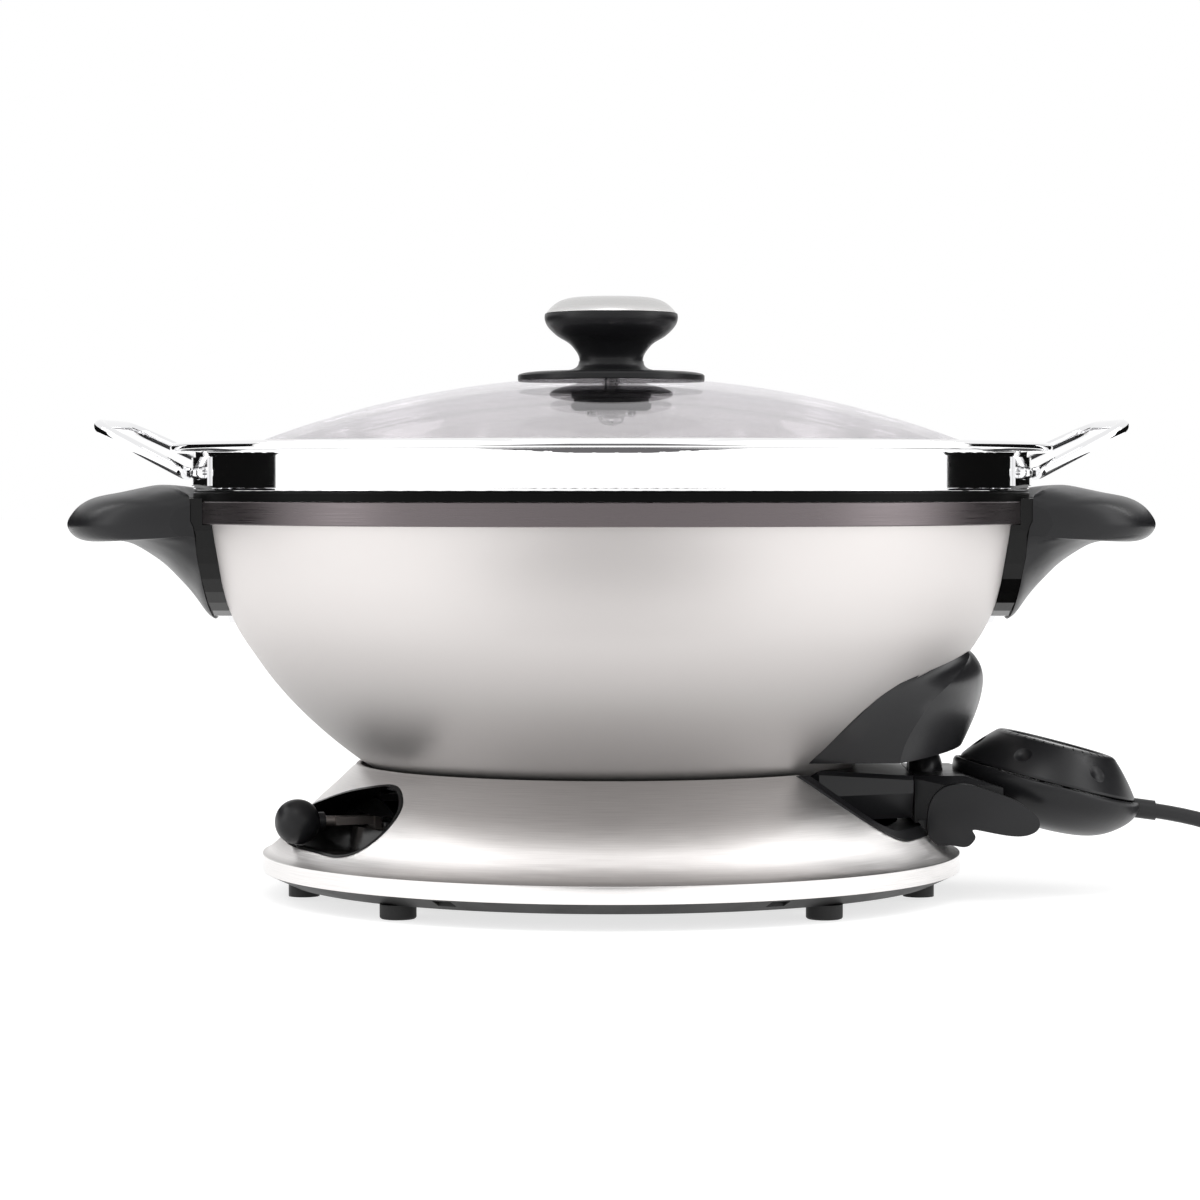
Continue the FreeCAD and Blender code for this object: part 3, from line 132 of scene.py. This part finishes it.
# ---------------------------------------------------------------- materials
def brushed_cone():
    """Stainless brushed round the axis: highlights stretch up and down the cone. Polished below z = 20 mm."""
    m, nt, out = new_mat("brushed_base")
    b = principled(nt, out, (0.62, 0.60, 0.59), 1.0, 0.30, aniso=0.82)
    t = nt.nodes.new("ShaderNodeTangent")
    t.direction_type = "RADIAL"
    t.axis = "Z"
    nt.links.new(t.outputs["Tangent"], b.inputs["Tangent"])
    tc = nt.nodes.new("ShaderNodeTexCoord")
    sep = nt.nodes.new("ShaderNodeSeparateXYZ")
    nt.links.new(tc.outputs["Object"], sep.inputs["Vector"])
    # fine lines that run round the cone: noise stretched in height and radius only
    ang = nt.nodes.new("ShaderNodeMath"); ang.operation = "ARCTAN2"
    nt.links.new(sep.outputs["Y"], ang.inputs[0]); nt.links.new(sep.outputs["X"], ang.inputs[1])
    comb = nt.nodes.new("ShaderNodeCombineXYZ")
    s1 = nt.nodes.new("ShaderNodeMath"); s1.operation = "MULTIPLY"; s1.inputs[1].default_value = 6.0
    nt.links.new(ang.outputs[0], s1.inputs[0])
    s2 = nt.nodes.new("ShaderNodeMath"); s2.operation = "MULTIPLY"; s2.inputs[1].default_value = 3600.0
    nt.links.new(sep.outputs["Z"], s2.inputs[0])
    nt.links.new(s1.outputs[0], comb.inputs["X"]); nt.links.new(s2.outputs[0], comb.inputs["Y"])
    n = nt.nodes.new("ShaderNodeTexNoise")
    n.inputs["Scale"].default_value = 1.0
    n.inputs["Detail"].default_value = 4.0
    nt.links.new(comb.outputs["Vector"], n.inputs["Vector"])
    rr = nt.nodes.new("ShaderNodeMapRange")
    rr.inputs["From Min"].default_value = 0.3; rr.inputs["From Max"].default_value = 0.7
    rr.inputs["To Min"].default_value = 0.30; rr.inputs["To Max"].default_value = 0.42
    nt.links.new(n.outputs["Fac"], rr.inputs["Value"])
    # polished band
    pol = nt.nodes.new("ShaderNodeMapRange")
    pol.inputs["From Min"].default_value = 0.0186; pol.inputs["From Max"].default_value = 0.0196
    nt.links.new(sep.outputs["Z"], pol.inputs["Value"])
    mx = nt.nodes.new("ShaderNodeMix"); mx.data_type = "FLOAT"
    mx.inputs["A"].default_value = 0.10
    nt.links.new(pol.outputs["Result"], mx.inputs["Factor"])
    nt.links.new(rr.outputs["Result"], mx.inputs["B"])
    nt.links.new(mx.outputs["Result"], b.inputs["Roughness"])
    ramp = nt.nodes.new("ShaderNodeMapRange")
    ramp.inputs["From Min"].default_value = 0.3; ramp.inputs["From Max"].default_value = 0.7
    ramp.inputs["To Min"].default_value = 0.93; ramp.inputs["To Max"].default_value = 1.05
    nt.links.new(n.outputs["Fac"], ramp.inputs["Value"])
    # painted shade: base colour darkened in a ring just above the polished band
    painted_shade_ring = nt.nodes.new("ShaderNodeMapRange")
    painted_shade_ring.inputs["From Min"].default_value = 0.0196; painted_shade_ring.inputs["From Max"].default_value = 0.0212
    painted_shade_ring.inputs["To Min"].default_value = 0.72; painted_shade_ring.inputs["To Max"].default_value = 1.0
    nt.links.new(sep.outputs["Z"], painted_shade_ring.inputs["Value"])
    on_band = nt.nodes.new("ShaderNodeMath"); on_band.operation = "LESS_THAN"; on_band.inputs[1].default_value = 0.0192
    nt.links.new(sep.outputs["Z"], on_band.inputs[0])
    top = nt.nodes.new("ShaderNodeMath"); top.operation = "MAXIMUM"
    nt.links.new(painted_shade_ring.outputs["Result"], top.inputs[0]); nt.links.new(on_band.outputs[0], top.inputs[1])
    tone = nt.nodes.new("ShaderNodeMath"); tone.operation = "MULTIPLY"
    nt.links.new(ramp.outputs["Result"], tone.inputs[0]); nt.links.new(top.outputs[0], tone.inputs[1])
    cm = nt.nodes.new("ShaderNodeVectorMath"); cm.operation = "SCALE"
    cm.inputs[0].default_value = (0.83, 0.81, 0.80)
    nt.links.new(tone.outputs[0], cm.inputs["Scale"])
    nt.links.new(cm.outputs["Vector"], b.inputs["Base Color"])
    return m


def bowl_material():
    """Pearl silver outside with painted shade darkening towards the foot, black non-stick inside and on the lip."""
    m, nt, out = new_mat("wok_finish_painted_shade")
    outer = nt.nodes.new("ShaderNodeBsdfPrincipled")
    outer.inputs["Base Color"].default_value = (0.585, 0.565, 0.55, 1)
    outer.inputs["Metallic"].default_value = 0.82
    tz = nt.nodes.new("ShaderNodeTexCoord")
    sz = nt.nodes.new("ShaderNodeSeparateXYZ")
    nt.links.new(tz.outputs["Object"], sz.inputs["Vector"])
    # painted shade: the outer tone falls towards the foot, as it looks in the photo
    painted_shade_ramp = nt.nodes.new("ShaderNodeMapRange")
    painted_shade_ramp.interpolation_type = "SMOOTHSTEP"
    painted_shade_ramp.inputs["From Min"].default_value = 0.058; painted_shade_ramp.inputs["From Max"].default_value = 0.150
    painted_shade_ramp.inputs["To Min"].default_value = 0.46; painted_shade_ramp.inputs["To Max"].default_value = 1.10
    nt.links.new(sz.outputs["Z"], painted_shade_ramp.inputs["Value"])
    tint = nt.nodes.new("ShaderNodeVectorMath"); tint.operation = "SCALE"
    tint.inputs[0].default_value = (0.600, 0.575, 0.565)
    nt.links.new(painted_shade_ramp.outputs["Result"], tint.inputs["Scale"])
    nt.links.new(tint.outputs["Vector"], outer.inputs["Base Color"])
    outer.inputs["Roughness"].default_value = 0.50
    n = nt.nodes.new("ShaderNodeTexNoise")
    n.inputs["Scale"].default_value = 1.0
    n.inputs["Detail"].default_value = 2.0
    nt.links.new(coords(nt, (2600, 2600, 2600)), n.inputs["Vector"])
    bp = nt.nodes.new("ShaderNodeBump")
    bp.inputs["Strength"].default_value = 0.10
    bp.inputs["Distance"].default_value = 0.00006
    nt.links.new(n.outputs["Fac"], bp.inputs["Height"])
    nt.links.new(bp.outputs["Normal"], outer.inputs["Normal"])
    inner = nt.nodes.new("ShaderNodeBsdfPrincipled")
    inner.inputs["Base Color"].default_value = (0.002, 0.002, 0.002, 1)
    inner.inputs["Roughness"].default_value = 0.32
    inner.inputs["Specular IOR Level"].default_value = 0.05
    tc = nt.nodes.new("ShaderNodeTexCoord")
    sp = nt.nodes.new("ShaderNodeSeparateXYZ")
    nt.links.new(tc.outputs["Object"], sp.inputs["Vector"])
    # radial part of the normal
    flat = nt.nodes.new("ShaderNodeVectorMath"); flat.operation = "MULTIPLY"; flat.inputs[1].default_value = (1, 1, 0)
    nt.links.new(tc.outputs["Object"], flat.inputs[0])
    unit = nt.nodes.new("ShaderNodeVectorMath"); unit.operation = "NORMALIZE"
    nt.links.new(flat.outputs["Vector"], unit.inputs[0])
    dot = nt.nodes.new("ShaderNodeVectorMath"); dot.operation = "DOT_PRODUCT"
    nt.links.new(unit.outputs["Vector"], dot.inputs[0]); nt.links.new(tc.outputs["Normal"], dot.inputs[1])
    nz = nt.nodes.new("ShaderNodeSeparateXYZ")
    nt.links.new(tc.outputs["Normal"], nz.inputs["Vector"])
    sub = nt.nodes.new("ShaderNodeMath"); sub.operation = "SUBTRACT"
    nt.links.new(dot.outputs["Value"], sub.inputs[0]); nt.links.new(nz.outputs["Z"], sub.inputs[1])
    faces_out = nt.nodes.new("ShaderNodeMath"); faces_out.operation = "GREATER_THAN"; faces_out.inputs[1].default_value = 0.0
    nt.links.new(sub.outputs[0], faces_out.inputs[0])
    low = nt.nodes.new("ShaderNodeMath"); low.operation = "LESS_THAN"; low.inputs[1].default_value = 0.1798
    nt.links.new(sp.outputs["Z"], low.inputs[0])
    both = nt.nodes.new("ShaderNodeMath"); both.operation = "MULTIPLY"
    nt.links.new(faces_out.outputs[0], both.inputs[0]); nt.links.new(low.outputs[0], both.inputs[1])
    mix = nt.nodes.new("ShaderNodeMixShader")
    nt.links.new(both.outputs[0], mix.inputs["Fac"])
    nt.links.new(inner.outputs["BSDF"], mix.inputs[1]); nt.links.new(outer.outputs["BSDF"], mix.inputs[2])
    nt.links.new(mix.outputs["Shader"], out.inputs["Surface"])
    return m


def glass_material():
    m, nt, out = new_mat("lid_glass")
    tr = nt.nodes.new("ShaderNodeBsdfTransparent")
    tr.inputs["Color"].default_value = (0.865, 0.855, 0.860, 1)
    gl = nt.nodes.new("ShaderNodeBsdfGlossy")
    gl.inputs["Color"].default_value = (0.95, 0.94, 0.96, 1)
    gl.inputs["Roughness"].default_value = 0.015
    lw = nt.nodes.new("ShaderNodeLayerWeight")
    lw.inputs["Blend"].default_value = 0.5
    p5 = nt.nodes.new("ShaderNodeMath"); p5.operation = "POWER"; p5.inputs[1].default_value = 5.0
    nt.links.new(lw.outputs["Facing"], p5.inputs[0])
    fr = nt.nodes.new("ShaderNodeMath"); fr.operation = "MULTIPLY_ADD"
    fr.inputs[1].default_value = 0.80; fr.inputs[2].default_value = 0.04
    nt.links.new(p5.outputs[0], fr.inputs[0])
    n = nt.nodes.new("ShaderNodeTexNoise")
    n.inputs["Scale"].default_value = 1.0
    nt.links.new(coords(nt, (9, 9, 9)), n.inputs["Vector"])
    b = nt.nodes.new("ShaderNodeBump")
    b.inputs["Strength"].default_value = 0.05
    b.inputs["Distance"].default_value = 0.0004
    nt.links.new(n.outputs["Fac"], b.inputs["Height"])
    nt.links.new(b.outputs["Normal"], gl.inputs["Normal"])
    mx = nt.nodes.new("ShaderNodeMixShader")
    nt.links.new(fr.outputs[0], mx.inputs["Fac"])
    nt.links.new(tr.outputs["BSDF"], mx.inputs[1]); nt.links.new(gl.outputs["BSDF"], mx.inputs[2])
    nt.links.new(mx.outputs["Shader"], out.inputs["Surface"])
    return m


def spun(name, color, rough, aniso):
    """Metal with fine circular turning marks about the vertical axis."""
    m, nt, out = new_mat(name)
    b = principled(nt, out, color, 1.0, rough, aniso=aniso)
    t = nt.nodes.new("ShaderNodeTangent"); t.direction_type = "RADIAL"; t.axis = "Z"
    nt.links.new(t.outputs["Tangent"], b.inputs["Tangent"])
    vary_rough(nt, b, (30, 30, 3000), rough - 0.05, rough + 0.06, 4.0)
    return m


MATS = {
    "base_shell": brushed_cone(),
    "wok_bowl": bowl_material(),
    "lid_glass": glass_material(),
}
mirror = simple("mirror_steel", (0.90, 0.90, 0.905), 1.0, 0.055, 0.012)
chrome = simple("bright_chrome", (0.84, 0.84, 0.85), 1.0, 0.07, 0.02)
cap_steel = spun("cap_steel", (0.60, 0.595, 0.59), 0.30, 0.6)
rim_metal = spun("rim_metal", (0.135, 0.118, 0.122), 0.30, 0.5)
steel = simple("plain_steel", (0.55, 0.55, 0.55), 1.0, 0.30, 0.06)
dark_steel = simple("heat_dark_steel", (0.20, 0.18, 0.17), 1.0, 0.42, 0.08)
brass = simple("brass", (0.72, 0.52, 0.22), 1.0, 0.28, 0.05)
black = simple("black_satin", (0.008, 0.008, 0.009), 0.0, 0.36, 0.04, grain=(3200, 0.12, 0.00005), spec=0.24)
phenolic = simple("black_phenolic", (0.010, 0.010, 0.011), 0.0, 0.33, 0.03, grain=(2800, 0.10, 0.00005), spec=0.26)
gloss = simple("black_gloss", (0.003, 0.003, 0.003), 0.0, 0.12, 0.03, spec=0.2)
recess = simple("black_recess", (0.003, 0.003, 0.003), 0.0, 0.20, 0.03, spec=0.25)
under = simple("black_under", (0.010, 0.010, 0.010), 0.0, 0.48, 0.05, spec=0.25)
rubber = simple("rubber", (0.013, 0.013, 0.013), 0.0, 0.55, 0.06, grain=(1500, 0.2, 0.0001), spec=0.25)
cord_mat = simple("cord_rubber", (0.014, 0.014, 0.015), 0.0, 0.38, 0.05, spec=0.3)
ceramic = simple("ceramic", (0.80, 0.77, 0.70), 0.0, 0.35, 0.08)
# indicator lens: a real part; its pale grey colour is a painted highlight for the white glint on its top
lens = simple("indicator_lens", (0.78, 0.78, 0.79), 0.0, 0.14, 0.03, coat=0.3)
brown = simple("thermostat_body", (0.20, 0.12, 0.07), 0.0, 0.5, 0.05)
cast = simple("cast_alloy", (0.5, 0.5, 0.5), 1.0, 0.45, 0.06)

MATS.update({
    "base_frame": black, "bottom_cover": under, "rubber_feet": rubber, "base_screws": steel, "release_recess": recess,
    "cutout_trim": black, "ring_guides": black, "lock_ring": steel, "lever_arm": dark_steel, "lever_screws": steel,
    "lever_knob": black, "rim_band": rim_metal, "foot_ring": under, "foot_screws": steel, "heating_element": dark_steel,
    "pin_insulators": ceramic, "terminal_pins": steel, "probe_guide": cast, "socket_housing": phenolic, "connector_hood": phenolic,
    "hood_screws": steel, "handle_left": phenolic, "handle_right": phenolic, "handle_liners": gloss, "handle_brackets": chrome,
    "handle_bolts": steel, "steamer_tray": mirror, "steamer_loops": chrome, "loop_brackets": chrome, "loop_rivets": chrome,
    "lid_band": mirror, "knob_flange": black, "lid_knob": black, "knob_cap": cap_steel, "knob_insert": brass, "knob_seal": rubber,
    "inner_boss": rubber, "lock_nut": steel, "lid_screw": steel, "control_housing": phenolic, "control_deck": black, "thermostat": brown,
    "probe_rod": steel, "terminal_sleeves": brass, "indicator_lens": lens, "lever_pins": steel, "housing_screws": steel,
    "dial_shaft": steel, "dial": phenolic, "dial_insert": gloss, "eject_lever": phenolic, "strain_relief": cord_mat,
    "cord": cord_mat, "cord_coil": cord_mat, "cord_tail": cord_mat, "plug_body": cord_mat, "plug_pins": brass,
})
for name, o in nodes.items():
    o.data.materials.clear()
    o.data.materials.append(MATS[name])


# --------------------------------------------------------------------- cord
EXIT = (0.2413, 0.0, 0.03845)
COIL = (0.336, 0.062)
route = [EXIT, (0.267, 0.0002, 0.03507), (0.290, 0.001, 0.0262), (0.307, 0.0036, 0.0136), (0.322, 0.0098, 0.0052), (0.330, 0.0160, 0.0037)]
turns_low, turns_high = 2.15, 2.17
per = 20
a0 = math.radians(-88)
n_low = int(turns_low * per)
for i in range(n_low + 1):
    f = i / n_low
    a = a0 + 2 * math.pi * turns_low * f
    r = 0.0430 - 0.0071 * turns_low * f * 0.465 * 2 / 2.0
    r = 0.0430 - 0.0072 * min(1.0, max(0.0, (turns_low * f - 0.15)))
    route.append((COIL[0] + r * math.cos(a), COIL[1] + r * math.sin(a), 0.0037))
a1 = a0 + 2 * math.pi * turns_low
n_high = int(turns_high * per)
for i in range(1, n_high + 1):
    f = i / n_high
    a = a1 + 2 * math.pi * turns_high * f
    r = 0.0358 + 0.0072 * min(1.0, max(0.0, (turns_high * f - 0.9)))
    z = 0.0037 + 0.0070 * min(1.0, f * turns_high / 0.35)
    route.append((COIL[0] + r * math.cos(a), COIL[1] + r * math.sin(a), z))
last = route[-1]
route += [(0.3812, 0.0700, 0.0100), (0.3836, 0.0830, 0.0096), (0.3841, 0.0950, 0.0095), (0.3838, 0.1060, 0.0096), (0.3836, 0.1160, 0.0096)]
crv = bpy.data.curves.new("mains_cord", "CURVE")
crv.dimensions = "3D"
crv.bevel_depth = 0.0035
crv.bevel_resolution = 5
crv.resolution_u = 6
crv.use_fill_caps = True
sp = crv.splines.new("NURBS")
sp.points.add(len(route) - 1)
for p, q in zip(sp.points, route):
    p.co = (*q, 1.0)
sp.order_u = 3
sp.use_endpoint_u = True
cord_obj = bpy.data.objects.new("mains_cord", crv)
scene.collection.objects.link(cord_obj)
crv.materials.append(cord_mat)
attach(cord_obj, "control")
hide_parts("cord", "cord_coil", "cord_tail")


# --------------------------------------------------------------- the studio
def plane(name, size, loc, rot, mat):
    me = bpy.data.meshes.new(name)
    x, y = size[0] / 2, size[1] / 2
    me.from_pydata([(-x, -y, 0), (x, -y, 0), (x, y, 0), (-x, y, 0)], [], [(0, 1, 2, 3)])
    o = bpy.data.objects.new(name, me)
    scene.collection.objects.link(o)
    o.location = loc
    o.rotation_euler = rot
    me.materials.append(mat)
    return o


def emit(name, color, strength):
    m, nt, out = new_mat(name)
    e = nt.nodes.new("ShaderNodeEmission")
    e.inputs["Color"].default_value = (*color, 1)
    e.inputs["Strength"].default_value = strength
    nt.links.new(e.outputs["Emission"], out.inputs["Surface"])
    return m


def matte(name, color):
    m, nt, out = new_mat(name)
    d = nt.nodes.new("ShaderNodeBsdfDiffuse")
    d.inputs["Color"].default_value = (*color, 1)
    nt.links.new(d.outputs["BSDF"], out.inputs["Surface"])
    return m


world = bpy.data.worlds.new("studio")
scene.world = world
world.use_nodes = True
bg = world.node_tree.nodes.get("Background")
bg.inputs["Color"].default_value = (1.0, 1.0, 1.0, 1.0)
bg.inputs["Strength"].default_value = 1.0

fm, fnt, fout = new_mat("floor_white")
fd = fnt.nodes.new("ShaderNodeBsdfDiffuse")
fd.inputs["Color"].default_value = (0.92, 0.92, 0.92, 1)
fe = fnt.nodes.new("ShaderNodeEmission")
fe.inputs["Strength"].default_value = 1.45
fmix = fnt.nodes.new("ShaderNodeMixShader")
fmix.inputs["Fac"].default_value = 0.50
fnt.links.new(fd.outputs["BSDF"], fmix.inputs[1])
fnt.links.new(fe.outputs["Emission"], fmix.inputs[2])
fnt.links.new(fmix.outputs["Shader"], fout.inputs["Surface"])
floor = plane("floor", (40, 40), (0, 0, -0.0002), (0, 0, 0), fm)
flag_mat = matte("flag_black", (0.004, 0.004, 0.004))


def wall(name, a, b, z0, z1, mat):
    """A standing panel between two floor points."""
    me = bpy.data.meshes.new(name)
    me.from_pydata([(a[0], a[1], z0), (b[0], b[1], z0), (b[0], b[1], z1), (a[0], a[1], z1)], [], [(0, 1, 2, 3)])
    o = bpy.data.objects.new(name, me)
    scene.collection.objects.link(o)
    me.materials.append(mat)
    # the panels only light and are mirrored in the metal; no view has one standing in front of the object
    o.visible_camera = False
    return o


front = emit("panel_front", (1.0, 1.0, 1.0), 1.14)
side = emit("panel_side", (1.0, 1.0, 1.0), 1.30)
strip = emit("strip", (1.0, 1.0, 1.0), 3.2)
wall("front_panel", (-1.2, -1.95), (1.2, -1.95), 0.0, 2.0, front)
wall("left_panel", (-1.2, -1.95), (-1.2, 0.12), 0.0, 2.0, side)
wall("right_panel", (1.2, -1.95), (1.2, 0.12), 0.0, 2.0, side)
wall("left_strip", (-1.18, -0.60), (-1.18, -0.28), 0.10, 1.5, strip)
wall("right_strip", (1.18, -0.62), (1.18, -0.12), 0.10, 1.5, strip)
wall("flag_left", (-0.47, -0.055), (-0.47, 0.90), 0.12, 0.30, flag_mat)
wall("flag_right", (0.47, -0.055), (0.47, 0.90), 0.12, 0.30, flag_mat)
card = plane("grey_card", (0.40, 0.90), (0, -0.77, 0.0006), (0, 0, 0), emit("card_grey", (0.16, 0.155, 0.16), 1.0))
card.visible_camera = False
card.visible_diffuse = False
card.visible_shadow = False


def area(name, loc, target, size, power, size_y=None):
    d = bpy.data.lights.new(name, "AREA")
    d.energy = power
    d.size = size
    if size_y:
        d.shape = "RECTANGLE"
        d.size_y = size_y
    o = bpy.data.objects.new(name, d)
    scene.collection.objects.link(o)
    look(o, loc, target)
    return o


area("key_front", (0.0, -1.0, 1.9), (0, -0.1, 0.05), 1.2, 11, 0.8)
area("key_left", (-1.6, 0.0, 1.3), (-0.1, -0.1, 0.05), 0.8, 15, 0.8)
area("key_right", (1.6, 0.0, 1.3), (0.1, -0.1, 0.05), 0.8, 15, 0.8)
